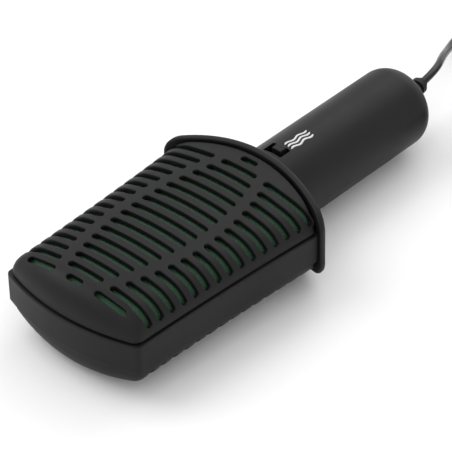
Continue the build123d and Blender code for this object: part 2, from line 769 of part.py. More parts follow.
# plug: flat two-pin mains plug lying on its side, pins towards -X
plug_back = tail_route[-1][0]
plug_y = tail_route[-1][1]
plug_l, plug_w, plug_t = 36.0, 34.0, 13.7
plug_z = plug_t / 2
pin_gap, pin_r, pin_l, sleeve_l = 18.6, 2.0, 19.0, 10.0
pin_core_r = 1.3
pin_root = 6.0                  # length of a pin's core inside the plug
sleeve_r = 1.75
plug_face = plug_back - plug_l
pin_spots = ((pin_gap / 2, 0), (-pin_gap / 2, 0))


def plug_plane(x):
    """Plane across the plug at x, facing the pins' way."""
    return Plane(origin=(x, plug_y, plug_z), x_dir=(0, 1, 0), z_dir=(-1, 0, 0))


with BuildPart() as plug_body:
    with BuildSketch(plug_plane(plug_back)):
        RectangleRounded(6.2, 6.0, 2.7)
    with BuildSketch(plug_plane(plug_back - 9)):
        RectangleRounded(14, 8.4, 3.7)
    with BuildSketch(plug_plane(plug_back - 21)):
        RectangleRounded(26, plug_t - 1.5, 5.5)
    with BuildSketch(plug_plane(plug_face)):
        RectangleRounded(plug_w, plug_t, 6.5)
    loft()
    with BuildSketch(plug_plane(plug_face)):
        with Locations(*pin_spots):
            Circle(pin_core_r)
    extrude(amount=-pin_root, mode=Mode.SUBTRACT)
save(plug_body, "plug_body")

with BuildPart() as plug_pins:
    for spot in pin_spots:
        with BuildSketch(plug_plane(plug_face + pin_root)):
            with Locations(spot):
                Circle(pin_core_r - 0.01)
        extrude(amount=pin_root + sleeve_l)
        with BuildSketch(plug_plane(plug_face - sleeve_l)):
            with Locations(spot):
                Circle(pin_r)
        extrude(amount=pin_l - sleeve_l)
    fillet(plug_pins.faces().group_by(Axis.X)[0].edges(), 1.2)
save(plug_pins, "plug_pins")

with BuildPart() as pin_sleeves:
    with BuildSketch(plug_plane(plug_face)):
        with Locations(*pin_spots):
            Circle(sleeve_r)
            Circle(pin_core_r, mode=Mode.SUBTRACT)
    extrude(amount=sleeve_l)
save(pin_sleeves, "pin_sleeves")
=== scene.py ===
import math

import bmesh
import bpy
import numpy as np
from bpy.props import FloatProperty, FloatVectorProperty, IntProperty, PointerProperty
from mathutils import Matrix, Vector
from mathutils.geometry import delaunay_2d_cdt


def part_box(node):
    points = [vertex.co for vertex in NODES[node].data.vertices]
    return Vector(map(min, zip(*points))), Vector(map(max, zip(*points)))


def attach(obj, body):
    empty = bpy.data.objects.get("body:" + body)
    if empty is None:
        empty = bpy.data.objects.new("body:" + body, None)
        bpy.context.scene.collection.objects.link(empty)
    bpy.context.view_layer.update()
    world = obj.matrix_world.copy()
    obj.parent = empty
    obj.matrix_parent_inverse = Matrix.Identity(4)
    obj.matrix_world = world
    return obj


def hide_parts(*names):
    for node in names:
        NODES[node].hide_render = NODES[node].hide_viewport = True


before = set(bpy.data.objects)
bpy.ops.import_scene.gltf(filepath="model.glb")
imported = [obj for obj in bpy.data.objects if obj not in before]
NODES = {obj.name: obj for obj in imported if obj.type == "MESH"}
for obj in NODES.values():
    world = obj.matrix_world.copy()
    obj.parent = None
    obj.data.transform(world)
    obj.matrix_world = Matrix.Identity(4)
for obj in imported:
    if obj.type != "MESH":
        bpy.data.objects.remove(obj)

bl_info = {
    "name": "Boot dryer",
    "version": (1, 0, 0),
    "blender": (4, 5, 0),
    "location": "View3D > Sidebar > Boot dryer",
    "description": "Builds the looks of a hand-sized electric boot dryer round its packed CAD frame",
    "category": "Add Mesh",
}

MM = 0.001
CLOTH = 0.6             # thickness of the lining, in millimetres
CLOTH_DEPTH = 2.7       # how deep it lies below the grille's outer surface
CLOTH_CORNER = 7.0      # plan rounding of the lining at the toe
LENS, SENSOR = 226.67, 36.0                     # camera, in millimetres
CAMERA_SPOT = (-0.6241, -0.5777, 0.6686)        # in the frame's metres
CAMERA_ANGLES = (-46.799, 37.708, -1.365)       # azimuth, elevation and roll, in degrees
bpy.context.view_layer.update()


def linear(code):
    """Linear RGB of an sRGB hex value such as 0x1C1C1D."""
    parts = [((code >> shift) & 255) / 255 for shift in (16, 8, 0)]
    return [c / 12.92 if c <= 0.04045 else ((c + 0.055) / 1.055) ** 2.4 for c in parts]


def add_node(tree, kind, inputs=None, links=None, **settings):
    """Add a node, set its settings and input values, and link its inputs from other sockets."""
    node = tree.nodes.new(kind)
    for name, value in settings.items():
        setattr(node, name, value)
    for socket, value in (inputs or {}).items():
        node.inputs[socket].default_value = value
    for socket, source in (links or {}).items():
        tree.links.new(source, node.inputs[socket])
    return node


def per_metre(size_mm):
    """Texture scale that repeats about once in size_mm."""
    return 1 / (size_mm * MM)


# ---- sizes and colours that a user may change ----
class DryerSizes(bpy.types.PropertyGroup):
    """Sizes of the pieces that are modelled here, in the frame's metres."""

    wall: FloatProperty(
        name="Wall", description="Moulded wall of a grille", default=2.2 * MM, unit="LENGTH")
    slot_width: FloatProperty(
        name="Slot width", description="Width of each warm-air slot", default=2.85 * MM, unit="LENGTH")
    slot_round: FloatProperty(
        name="Slot rounding", description="Rounding of the slots' outer edges", default=0.42 * MM,
        unit="LENGTH")
    seam_round: FloatProperty(
        name="Seam rounding", description="Rounding of a grille's edge at the band", default=0.35 * MM,
        unit="LENGTH")
    heel_round: FloatProperty(
        name="Heel rounding", description="Rounding of a grille's edge at the flange", default=0.9 * MM,
        unit="LENGTH")
    weave: FloatProperty(
        name="Weave", description="Spacing of the lining's twill ribs", default=0.75 * MM, unit="LENGTH")
    cord: FloatProperty(
        name="Cord", description="Diameter of the mains cord", default=3.2 * MM, unit="LENGTH")
    cord_length: FloatProperty(
        name="Cord length", description="Length of the cord from the strain relief to the plug",
        default=1.2, unit="LENGTH")
    coil_turns: IntProperty(
        name="Whole turns", description="Whole turns in the stored coil", default=9, min=4)


class DryerColours(bpy.types.PropertyGroup):
    """Base colours of the finishes, linear."""

    shell: FloatVectorProperty(
        name="Shell", description="Textured black ABS of the head", subtype="COLOR",
        default=linear(0x0C0C0D))
    handle: FloatVectorProperty(
        name="Handle", description="Fine-textured black ABS of the handle", subtype="COLOR",
        default=linear(0x101011))
    weave: FloatVectorProperty(
        name="Lining", description="Green polyester yarn of the lining", subtype="COLOR",
        default=linear(0x24603C))
    cord: FloatVectorProperty(
        name="Cord", description="Glossy black PVC of the cord", subtype="COLOR",
        default=linear(0x0B0B0C))
    floor: FloatVectorProperty(
        name="Floor", description="Pale floor", subtype="COLOR", default=linear(0xF4F4F4))


# ---- materials ----
def new_material(name):
    """Empty node material with its output; returns the material and its tree."""
    material = bpy.data.materials.new(name)
    material.use_nodes = True
    material.node_tree.nodes.clear()
    return material, material.node_tree


def finish_material(tree, shader):
    add_node(tree, "ShaderNodeOutputMaterial", links={"Surface": shader.outputs["BSDF"]})


def moulded(name, colour, grain_mm, grain_depth, rough, ior=1.53, specular=0.2, edge_highlight=0.0):
    """Injection-moulded plastic: spark-eroded grain, faint flow mottling, and a painted highlight that
    turns sharp edges paler.
    """
    material, tree = new_material(name)
    place = add_node(tree, "ShaderNodeTexCoord").outputs["Object"]
    flow = add_node(
        tree, "ShaderNodeTexNoise", {"Scale": per_metre(22), "Detail": 3.0, "Roughness": 0.6},
        {"Vector": place})
    grain = add_node(
        tree, "ShaderNodeTexNoise", {"Scale": per_metre(grain_mm), "Detail": 2.0, "Roughness": 0.7},
        {"Vector": place})
    lighter = [min(1.0, c * 1.35 + 0.002) for c in colour]
    mottle = add_node(
        tree, "ShaderNodeMix", {"A": (*colour, 1), "B": (*lighter, 1)},
        {"Factor": flow.outputs["Fac"]}, data_type="RGBA")
    shine = add_node(
        tree, "ShaderNodeMapRange",
        {"From Min": 0.3, "From Max": 0.7, "To Min": rough - 0.05, "To Max": rough + 0.06},
        {"Value": flow.outputs["Fac"]})
    base = mottle.outputs["Result"]
    # painted highlight: the colour turns paler on sharp convex edges, where light catches them
    if edge_highlight:
        edge = add_node(tree, "ShaderNodeNewGeometry")
        highlight_mask = add_node(
            tree, "ShaderNodeMapRange",
            {"From Min": 0.52, "From Max": 0.62, "To Min": 0.0, "To Max": edge_highlight},
            {"Value": edge.outputs["Pointiness"]})
        highlight_tone = [min(1.0, c * 2.2 + 0.01) for c in colour]
        base = add_node(
            tree, "ShaderNodeMix", {"B": (*highlight_tone, 1)}, {"Factor": highlight_mask.outputs["Result"], "A": base},
            data_type="RGBA").outputs["Result"]
    bump = add_node(
        tree, "ShaderNodeBump", {"Strength": 0.6, "Distance": grain_depth * MM},
        {"Height": grain.outputs["Fac"]})
    shader = add_node(
        tree, "ShaderNodeBsdfPrincipled", {"IOR": ior, "Specular IOR Level": specular},
        {"Base Color": base, "Roughness": shine.outputs["Result"], "Normal": bump.outputs["Normal"]})
    finish_material(tree, shader)
    return material


def metal(name, colour, rough, grain_mm, stretch=(1, 1, 1)):
    """Bare or plated metal: brightness and roughness vary along its rolled, drawn or cast grain."""
    material, tree = new_material(name)
    place = add_node(tree, "ShaderNodeTexCoord").outputs["Object"]
    along = add_node(tree, "ShaderNodeMapping", {"Scale": stretch}, {"Vector": place})
    grain = add_node(
        tree, "ShaderNodeTexNoise", {"Scale": per_metre(grain_mm), "Detail": 4.0},
        {"Vector": along.outputs["Vector"]})
    dull = [c * 0.72 for c in colour]
    tone = add_node(
        tree, "ShaderNodeMix", {"A": (*dull, 1), "B": (*colour, 1)},
        {"Factor": grain.outputs["Fac"]}, data_type="RGBA")
    shine = add_node(
        tree, "ShaderNodeMapRange", {"To Min": rough - 0.08, "To Max": rough + 0.1},
        {"Value": grain.outputs["Fac"]})
    bump = add_node(
        tree, "ShaderNodeBump", {"Strength": 0.3, "Distance": 0.03 * MM},
        {"Height": grain.outputs["Fac"]})
    shader = add_node(
        tree, "ShaderNodeBsdfPrincipled", {"Metallic": 1.0},
        {"Base Color": tone.outputs["Result"], "Roughness": shine.outputs["Result"],
         "Normal": bump.outputs["Normal"]})
    finish_material(tree, shader)
    return material


def twill(name, colour, rib):
    """Woven polyester twill: slanting ribs of green yarn, the colour near-black where the weave lies low.
    """
    material, tree = new_material(name)
    place = add_node(tree, "ShaderNodeTexCoord").outputs["Object"]
    turned = add_node(
        tree, "ShaderNodeMapping", {"Rotation": (0, 0, math.radians(27))}, {"Vector": place})
    # twill ribs are drawn at 0.75 mm, about twice the real spacing, so that they show;
    # a band repeats every pi / 10 over the texture's scale
    bands = math.pi / 10 / rib
    ribs = add_node(
        tree, "ShaderNodeTexWave",
        {"Scale": bands, "Distortion": 0.6, "Detail": 1.0, "Detail Scale": 2.0},
        {"Vector": turned.outputs["Vector"]}, wave_type="BANDS", bands_direction="X")
    yarn = add_node(
        tree, "ShaderNodeTexWave",
        {"Scale": bands, "Distortion": 0.4, "Detail": 1.0},
        {"Vector": turned.outputs["Vector"]}, wave_type="BANDS", bands_direction="Y")
    uneven = add_node(
        tree, "ShaderNodeTexNoise", {"Scale": per_metre(6), "Detail": 2.0}, {"Vector": place})
    height = add_node(
        tree, "ShaderNodeMix", {"Factor": 0.35},
        {"A": ribs.outputs["Fac"], "B": yarn.outputs["Fac"]}, data_type="FLOAT")
    ramp = add_node(tree, "ShaderNodeValToRGB", links={"Fac": height.outputs["Result"]})
    ramp.color_ramp.elements[0].position = 0.3
    ramp.color_ramp.elements[0].color = (*[c * 0.12 for c in colour], 1)
    ramp.color_ramp.elements[1].position = 0.75
    ramp.color_ramp.elements[1].color = (*colour, 1)
    faded = add_node(
        tree, "ShaderNodeMix", {"B": (*[c * 0.55 for c in colour], 1)},
        {"Factor": uneven.outputs["Fac"], "A": ramp.outputs["Color"]}, data_type="RGBA",
        blend_type="MIX")
    bump = add_node(
        tree, "ShaderNodeBump", {"Strength": 0.8, "Distance": 0.15 * MM},
        {"Height": height.outputs["Result"]})
    shader = add_node(
        tree, "ShaderNodeBsdfPrincipled", {"Roughness": 0.75, "IOR": 1.55, "Sheen Weight": 0.2},
        {"Base Color": faded.outputs["Result"], "Normal": bump.outputs["Normal"]})
    finish_material(tree, shader)
    return material


def dress(obj, material):
    """Give an object one material, in every slot it has."""
    if not obj.data.materials:
        obj.data.materials.append(material)
    for i in range(len(obj.data.materials)):
        obj.data.materials[i] = material


def new_object(name, bm):
    """Object from a bmesh given in metres, smooth shaded."""
    mesh = bpy.data.meshes.new(name)
    bmesh.ops.recalc_face_normals(bm, faces=bm.faces)
    bm.to_mesh(mesh)
    bm.free()
    for face in mesh.polygons:
        face.use_smooth = True
    obj = bpy.data.objects.new(name, mesh)
    bpy.context.scene.collection.objects.link(obj)
    return obj


# ---- the grille's surface: a flat pattern bent over the dome and the shoulders ----
class Shell:
    """Flat pattern of one grille, in millimetres, with heights counted from the head's mid-plane.

    Inside the inset outline the pattern is the plan itself. Outside it the pattern unrolls the
    shoulders, so that slots keep their width and round ends where they run down the sides.
    """

    crown, dome_r = 19.1, 111.0
    seam = 6.6
    toe_c, toe_r = -3.3, 92.0
    heel_c, heel_r = -71.5, 80.0
    side_fit = ((-89.555, 32.0), (-38.5, 34.2), (-0.570, 37.0))
    inset = 10.0
    bend = 2.1
    side_run, toe_run = 13.4, 17.6

    def __init__(self, corner=2.5):
        self.corner = corner
        (x1, y1), (x2, y2), (x3, y3) = self.side_fit
        a = np.array([[x2 - x1, y2 - y1], [x3 - x2, y3 - y2]]) * 2
        b = np.array([x2**2 - x1**2 + y2**2 - y1**2, x3**2 - x2**2 + y3**2 - y2**2])
        self.side_x, self.side_y = np.linalg.solve(a, b)
        self.side_r = math.hypot(x1 - self.side_x, y1 - self.side_y)
        self.bulge = 1 if y1 > self.side_y else -1
        low, high = -100.0, -60.0
        for _ in range(60):
            x = (low + high) / 2
            inside = math.hypot(x - self.toe_c, self.side(x) - self.inset) < self.toe_r - self.inset
            low, high = (low, x) if inside else (x, high)
        self.q = np.array([x, float(self.side(x)) - self.inset])
        n = (self.q - (self.toe_c, 0)) / (self.toe_r - self.inset)
        self.fan = math.atan2(-n[0], n[1])
        self.angles = np.linspace(0, self.fan, 61)
        self.reach = self.outline_reach(self.angles)

    def side(self, x):
        """Half width of the outline at x."""
        return self.side_y + self.bulge * np.sqrt(self.side_r**2 - (np.asarray(x) - self.side_x) ** 2)

    def dome(self, y):
        return self.crown - self.dome_r + np.sqrt(self.dome_r**2 - np.minimum(np.abs(y), 80) ** 2)

    def outline_reach(self, angles):
        """Distance from the inset corner to the rounded outline, for directions across the corner."""
        d = np.stack([-np.sin(angles), np.cos(angles)], -1)
        low, high = np.zeros(len(angles)), np.full(len(angles), 30.0)
        for _ in range(50):
            far = (low + high) / 2
            p = self.q + d * far[:, None]
            a = np.hypot(p[:, 0] - self.toe_c, p[:, 1]) - self.toe_r + self.corner
            b = p[:, 1] - self.side(p[:, 0]) + self.corner
            out = np.hypot(np.maximum(a, 0), np.maximum(b, 0)) + np.minimum(np.maximum(a, b), 0)
            inside = out < self.corner
            low, high = np.where(inside, far, low), np.where(inside, high, far)
        return far

    def point(self, flat):
        """Surface points for flat pattern points, without thickness."""
        u, w = flat[:, 0], np.abs(flat[:, 1])
        sign = np.where(flat[:, 1] < 0, -1.0, 1.0)
        edge = self.side(u) - self.inset
        x, y = u.copy(), w.copy()
        t = np.zeros(len(u))
        rim_y = w.copy()
        qx, qy = self.q
        # along the sides
        side = (u >= qx) & (w > edge)
        t = np.where(side, (w - edge) / self.side_run, t)
        # across the corners
        rx, ry = u - qx, w - qy
        angle = np.arctan2(-rx, ry)
        fan = (u < qx) & (angle < self.fan) & (angle > 0)
        run = self.side_run + (self.toe_run - self.side_run) * (angle / self.fan) ** 2
        t = np.where(fan, np.hypot(rx, ry) / run, t)
        # round the toe
        far = np.hypot(u - self.toe_c, w)
        inner_r = self.toe_r - self.inset
        toe = (u < qx) & ~fan & (far > inner_r)
        t = np.where(toe, (far - inner_r) / self.toe_run, t)
        turn = np.clip(t, 0, 1) * math.pi / 2
        h = np.sin(turn) ** (2 / self.bend)
        drop = 1 - np.cos(turn) ** (2 / self.bend)
        y = np.where(side, edge + self.inset * h, y)
        rim_y = np.where(side, edge + self.inset, rim_y)
        reach = np.interp(angle, self.angles, self.reach)
        x = np.where(fan, qx - np.sin(angle) * reach * h, x)
        y = np.where(fan, qy + np.cos(angle) * reach * h, y)
        rim_y = np.where(fan, qy + np.cos(angle) * reach, rim_y)
        dx, dy = (u - self.toe_c) / far, w / far
        x = np.where(toe, self.toe_c + dx * (inner_r + self.inset * h), x)
        y = np.where(toe, dy * (inner_r + self.inset * h), y)
        rim_y = np.where(toe, dy * self.toe_r, rim_y)
        z = self.dome(y) - (self.dome(rim_y) - self.seam) * drop
        z = z - np.maximum(t - 1, 0) * self.side_run
        return np.stack([x, y * sign, z], -1)

    def solid(self, flat, depth=0.0):
        """Points at a depth under the outer surface."""
        flat = np.asarray(flat, float).reshape(-1, 2)
        depth = np.broadcast_to(np.asarray(depth, float), len(flat))
        step = 0.02
        du = self.point(flat + (step, 0)) - self.point(flat - (step, 0))
        dv = self.point(flat + (0, step)) - self.point(flat - (0, step))
        n = np.cross(du, dv)
        n /= np.linalg.norm(n, axis=1)[:, None]
        return self.point(flat) - n * depth[:, None]

    def side_turn(self, x, height):
        """How far down the shoulder, from 0 to 1, the side reaches a height over the mid-plane."""
        rim = self.side(x)
        fall = (self.dome(rim) - height) / (self.dome(rim) - self.seam)
        return np.arccos((1 - fall) ** (self.bend / 2)) / (math.pi / 2)

    def rim(self):
        """Outline of the flat pattern, anticlockwise, and True where it lies along the flange."""
        heel, side = [], []
        y_in = 27.0
        for _ in range(20):
            x_in = self.heel_c + math.sqrt(self.heel_r**2 - y_in**2)
            y_in = float(self.side(x_in)) - self.inset
        for y in np.linspace(0, y_in, 19)[:-1]:
            heel.append((self.heel_c + math.sqrt(self.heel_r**2 - y**2), y))
        for t in np.linspace(0, 1, 13):
            x = x_in
            h = math.sin(t * math.pi / 2) ** (2 / self.bend)
            for _ in range(20):
                y = float(self.side(x)) - self.inset + self.inset * h
                x = self.heel_c + math.sqrt(self.heel_r**2 - y**2)
            heel.append((x, float(self.side(x)) - self.inset + self.side_run * t))
        for x in np.linspace(heel[-1][0], self.q[0], 62)[1:]:
            side.append((x, float(self.side(x)) - self.inset + self.side_run))
        for a in np.linspace(0, self.fan, 15)[1:]:
            run = self.side_run + (self.toe_run - self.side_run) * (a / self.fan) ** 2
            side.append((self.q[0] - math.sin(a) * run, self.q[1] + math.cos(a) * run))
        last = math.atan2(self.q[1], self.toe_c - self.q[0])
        for a in np.linspace(last, 0, 17)[1:]:
            r = self.toe_r - self.inset + self.toe_run
            side.append((self.toe_c - r * math.cos(a), r * math.sin(a)))
        half = heel + side
        whole = half + [(x, -y) for x, y in half[-2:0:-1]]
        at_heel = [True] * len(heel) + [False] * (len(whole) - 2 * len(heel) + 1) + [True] * (len(heel) - 1)
        return np.array(whole), np.array(at_heel)


class Slots:
    """Slots of a grille: a middle row and two side rows, their webs bowed towards the toe."""

    pitch, first, count = 5.785, 4.5, 17
    web_r, web_x = 111.0, -41.7
    outer, inner, end_half = 20.25, 16.1, 3.8
    foot, last_end = 9.6, 24.7

    def __init__(self, shell, width):
        self.width = width
        self.spans = []
        for i in range(self.count):
            x = self.first - i * self.pitch
            at_end = i in (0, self.count - 1)
            half = self.end_half if at_end else self.web(self.inner, x)
            self.spans.append((x, -half, half))
            if i == 0:
                continue
            near, rim = self.web(self.outer, x), float(shell.side(x))
            far = self.last_end
            if i < self.count - 1:
                far = rim - shell.inset + shell.side_run * float(shell.side_turn(x, self.foot))
            self.spans += [(x, near, far), (x, -far, -near)]

    def web(self, apex, x):
        return apex - self.web_r + math.sqrt(self.web_r**2 - (x - self.web_x) ** 2)

    def outline(self, span):
        """Edge of one slot, anticlockwise, and the directions away from it."""
        x, low, high = span
        r = self.width / 2
        spots, away = [], []
        straight = max(1, round((high - low - 2 * r) / 1.3))
        for end, start in ((high - r, 0.0), (low + r, math.pi)):
            for k in range(13):
                a = start + math.pi * k / 12
                spots.append((x + r * math.cos(a), end + r * math.sin(a)))
                away.append((math.cos(a), math.sin(a)))
            side = -1 if start == 0 else 1
            other = low + r if start == 0 else high - r
            for k in range(1, straight):
                spots.append((x + side * r, end + (other - end) * k / straight))
                away.append((side, 0.0))
        return np.array(spots), np.array(away)

    def clear(self, points, gap):
        """True for points further than gap from every slot's edge."""
        keep = np.ones(len(points), bool)
        r = self.width / 2
        for x, low, high in self.spans:
            y = np.clip(points[:, 1], low + r, high - r)
            keep &= np.hypot(points[:, 0] - x, points[:, 1] - y) > r + gap
        return keep


def inward(loop):
    """Directions that point into an anticlockwise loop, mitred at its corners."""
    before, after = loop - np.roll(loop, 1, 0), np.roll(loop, -1, 0) - loop
    before /= np.linalg.norm(before, axis=1)[:, None]
    after /= np.linalg.norm(after, axis=1)[:, None]
    a = np.stack([-before[:, 1], before[:, 0]], -1)
    b = np.stack([-after[:, 1], after[:, 0]], -1)
    mid = a + b
    return mid / np.maximum((mid * a).sum(1), 0.5)[:, None]


def inside_loop(points, loop):
    """Even-odd test of points against a closed loop."""
    x, y = points[:, 0], points[:, 1]
    hit = np.zeros(len(points), bool)
    for (x1, y1), (x2, y2) in zip(loop, np.roll(loop, -1, 0)):
        if y1 == y2:
            continue
        crosses = (y1 > y) != (y2 > y)
        hit ^= crosses & (x < (x2 - x1) * (y - y1) / (y2 - y1) + x1)
    return hit


def far_from_loop(points, loop, gap):
    """True for points further than gap from a closed loop's segments."""
    keep = np.ones(len(points), bool)
    for p, q in zip(loop, np.roll(loop, -1, 0)):
        d = q - p
        along = np.clip(((points - p) @ d) / (d @ d), 0, 1)
        keep &= np.hypot(*(points - p - along[:, None] * d).T) > gap
    return keep


def ring_steps(r, wall, inner_r=0.25, steps=4):
    """(distance from an edge, depth) for the rings of a rounded edge through a wall."""
    rings = []
    for k in range(steps + 1):
        a = math.pi / 2 * k / steps
        rings.append((r * (1 - math.sin(a)), r * (1 - math.cos(a))))
    rings.append((0.0, wall - inner_r))
    rings.append((inner_r, wall))
    return rings


def pattern_mesh(shell, loops, radii, points, wall, under=0.0, support=0.14):
    """Closed bmesh of a shell: outer and inner faces, and a rounded edge along every loop.

    loops are (edge points, directions into the material); the first is the rim, the rest holes.
    under is how deep the outer face lies below the grille's surface.
    """
    flat, edges, starts = [], [], []
    for (edge, into), r in zip(loops, radii):
        starts.append(len(flat))
        ring = edge + into * (np.asarray(r).reshape(-1, 1) + support)
        n = len(ring)
        edges += [(starts[-1] + k, starts[-1] + (k + 1) % n) for k in range(n)]
        flat += [tuple(p) for p in ring]
    flat += [tuple(p) for p in points]
    spots, _, faces, origin, _, _ = delaunay_2d_cdt([Vector(p) for p in flat], edges, [], 0, 1e-6)
    spots = np.array([tuple(p) for p in spots])
    where = {}
    for out, sources in enumerate(origin):
        for source in sources:
            where[source] = out
    faces = np.array(faces)
    centre = spots[faces].mean(1)
    rings = [np.array([flat[starts[i] + k] for k in range(len(loops[i][0]))]) for i in range(len(loops))]
    keep = inside_loop(centre, rings[0])
    for ring in rings[1:]:
        low, high = ring.min(0), ring.max(0)
        near = ((centre > low) & (centre < high)).all(1)
        hit = np.zeros(len(centre), bool)
        hit[near] = inside_loop(centre[near], ring)
        keep &= ~hit
    faces = faces[keep]
    a, b, c = spots[faces[:, 0]], spots[faces[:, 1]], spots[faces[:, 2]]
    cross = (b[:, 0] - a[:, 0]) * (c[:, 1] - a[:, 1]) - (b[:, 1] - a[:, 1]) * (c[:, 0] - a[:, 0])
    bm = bmesh.new()
    outer = [bm.verts.new(p) for p in shell.solid(spots, under)]
    inner = [bm.verts.new(p) for p in shell.solid(spots, under + wall)]
    for f, turned in zip(faces.tolist(), cross < 0):
        f = f[::-1] if turned else f
        bm.faces.new([outer[k] for k in f])
        bm.faces.new([inner[k] for k in f[::-1]])
    for (edge, into), r, start in zip(loops, radii, starts):
        n = len(edge)
        r = np.broadcast_to(np.asarray(r, float), n)
        rows = [[outer[where[start + k]] for k in range(n)]]
        tables = np.array([ring_steps(one, wall, min(0.25, wall / 3)) for one in r])
        for k in range(tables.shape[1]):
            ring = shell.solid(edge + into * tables[:, k, :1], under + tables[:, k, 1])
            rows.append([bm.verts.new(p) for p in ring])
        rows.append([inner[where[start + k]] for k in range(n)])
        for above, below in zip(rows, rows[1:]):
            for k in range(n):
                j = (k + 1) % n
                bm.faces.new([above[k], above[j], below[j], below[k]])
    loose = [v for v in bm.verts if not v.link_faces]
    bmesh.ops.delete(bm, geom=loose, context="VERTS")
    return bm


def grid_points(shell, rim, first, pitch):
    """Points inside the rim of the flat pattern, in columns a quarter of the slots' pitch apart."""
    spots = []
    xs = first + pitch / 2 - pitch / 4 * np.arange(-8, 76)
    for x in xs[xs > shell.q[0]]:
        edge = float(shell.side(x)) - shell.inset
        rows = list(np.arange(0, edge, 1.5)) + [edge + shell.side_run * k / 13 for k in range(13)]
        spots += [(x, y) for y in rows] + [(x, -y) for y in rows if y > 0]
    for x in xs[(xs <= shell.q[0]) & (xs > shell.toe_c - shell.toe_r + shell.inset)]:
        half = math.sqrt((shell.toe_r - shell.inset) ** 2 - (x - shell.toe_c) ** 2)
        spots += [(x, y) for y in np.arange(-math.floor(half / 1.5) * 1.5, half, 1.5)]
    for a in np.linspace(0, shell.fan, 13):
        run = shell.side_run + (shell.toe_run - shell.side_run) * (a / shell.fan) ** 2
        for k in range(1, 16):
            far = run * k / 16
            for side in (1, -1):
                spots.append((shell.q[0] - math.sin(a) * far, side * (shell.q[1] + math.cos(a) * far)))
    last = math.atan2(shell.q[1], shell.toe_c - shell.q[0])
    for a in np.linspace(-last, last, 37):
        for k in range(0, 16):
            r = shell.toe_r - shell.inset + shell.toe_run * k / 16
            spots.append((shell.toe_c - r * math.cos(a), r * math.sin(a)))
    spots = np.array(spots)
    spots = spots[inside_loop(spots, rim)]
    return spots


def thin_out(points, gap):
    """Drop points that lie closer than gap to one kept before."""
    kept, cells = [], {}
    for x, y in points:
        cell = (math.floor(x / gap), math.floor(y / gap))
        around = [(cell[0] + i, cell[1] + j) for i in (-1, 0, 1) for j in (-1, 0, 1)]
        near = [q for one in around for q in cells.get(one, [])]
        if all(math.hypot(x - a, y - b) >= gap for a, b in near):
            cells.setdefault(cell, []).append((x, y))
            kept.append((x, y))
    return np.array(kept)


def to_frame(bm, mid, flip):
    """From millimetres over the head's mid-plane to the frame's metres."""
    turn = Matrix.Diagonal((MM, MM, -MM if flip else MM, 1))
    bmesh.ops.transform(bm, matrix=Matrix.Translation((0, 0, mid)) @ turn, verts=bm.verts)


def head_mid():
    """Height of the plane that mirrors the two grilles."""
    return (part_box("top_grille")[1][2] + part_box("bottom_grille")[0][2]) / 2


# ---- operators, one for each piece or group of like pieces ----
class DRYER_OT_grilles(bpy.types.Operator):
    """Build the two slotted grilles over and under the head"""

    bl_idname = "dryer.grilles"
    bl_label = "Grilles"

    def execute(self, context):
        sizes, colours = context.scene.dryer_sizes, context.scene.dryer_colours
        # textured ABS: the fine spark-eroded grain keeps it satin; the soft highlights on the slot edges
        # are painted into its colour
        abs_plastic = moulded("abs_spark_textured", colours.shell, 0.55, 0.05, 0.5, edge_highlight=0.5)
        shell = Shell()
        slots = Slots(shell, sizes.slot_width / MM)
        rim, at_heel = shell.rim()
        loops = [(rim, inward(rim))]
        radii = [np.where(at_heel, sizes.heel_round / MM, sizes.seam_round / MM)]
        for span in slots.spans:
            loops.append(slots.outline(span))
            radii.append(sizes.slot_round / MM)
        points = grid_points(shell, rim, slots.first, slots.pitch)
        points = points[slots.clear(points, sizes.slot_round / MM + 0.5)]
        points = points[far_from_loop(points, rim, 1.5)]
        points = thin_out(points, 0.7)
        mid = head_mid()
        for name, flip in (("top_grille", False), ("bottom_grille", True)):
            bm = pattern_mesh(shell, loops, radii, points, sizes.wall / MM)
            to_frame(bm, mid, flip)
            piece = new_object(f"{name}_shell", bm)
            dress(piece, abs_plastic)
            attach(piece, "dryer")
            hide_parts(name)
        return {"FINISHED"}


class DRYER_OT_linings(bpy.types.Operator):
    """Stretch the woven lining behind each grille"""

    bl_idname = "dryer.linings"
    bl_label = "Linings"

    def execute(self, context):
        sizes, colours = context.scene.dryer_sizes, context.scene.dryer_colours
        # raised green yarn over dark gaps gives the slots their dull green, ribbed ground
        cloth = twill("polyester_twill", colours.weave, sizes.weave)
        shell = Shell(corner=CLOTH_CORNER)
        rim, _ = shell.rim()
        points = grid_points(shell, rim, Slots.first, Slots.pitch)
        points = thin_out(points[far_from_loop(points, rim, 1.5)], 1.2)
        mid = head_mid()
        for name, flip in (("top_lining", False), ("bottom_lining", True)):
            bm = pattern_mesh(shell, [(rim, inward(rim))], [CLOTH / 3], points, CLOTH, under=CLOTH_DEPTH)
            to_frame(bm, mid, flip)
            piece = new_object(f"{name}_cloth", bm)
            dress(piece, cloth)
            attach(piece, "dryer")
            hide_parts(name)
        return {"FINISHED"}


class DRYER_OT_mouldings(bpy.types.Operator):
    """Finish the head frame, the handle and the switch"""

    bl_idname = "dryer.mouldings"
    bl_label = "Mouldings"

    def execute(self, context):
        colours = context.scene.dryer_colours
        # the same spark-eroded grain as the grilles keeps the band satin, with a weaker painted highlight
        # on its edges
        head = moulded("abs_spark_textured_frame", colours.shell, 0.55, 0.05, 0.5, edge_highlight=0.3)
        # a finer grain gives the handle a smoother, slightly brighter sheen along its length
        handle = moulded("abs_fine_textured", colours.handle, 0.45, 0.04, 0.46)
        # the knob is a little glossier, polished by fingers; its paler edges are a painted highlight
        knob = moulded("abs_satin_knob", colours.shell, 0.5, 0.03, 0.42, edge_highlight=0.4)
        dress(NODES["head_frame"], head)
        dress(NODES["handle_shell"], handle)
        dress(NODES["switch_knob"], knob)
        dress(NODES["switch_body"], moulded("pbt_switch_case", linear(0x161617), 0.5, 0.03, 0.45))
        dress(NODES["switch_base"], moulded("phenolic_switch_base", linear(0x1A1614), 0.4, 0.03, 0.4))
        return {"FINISHED"}


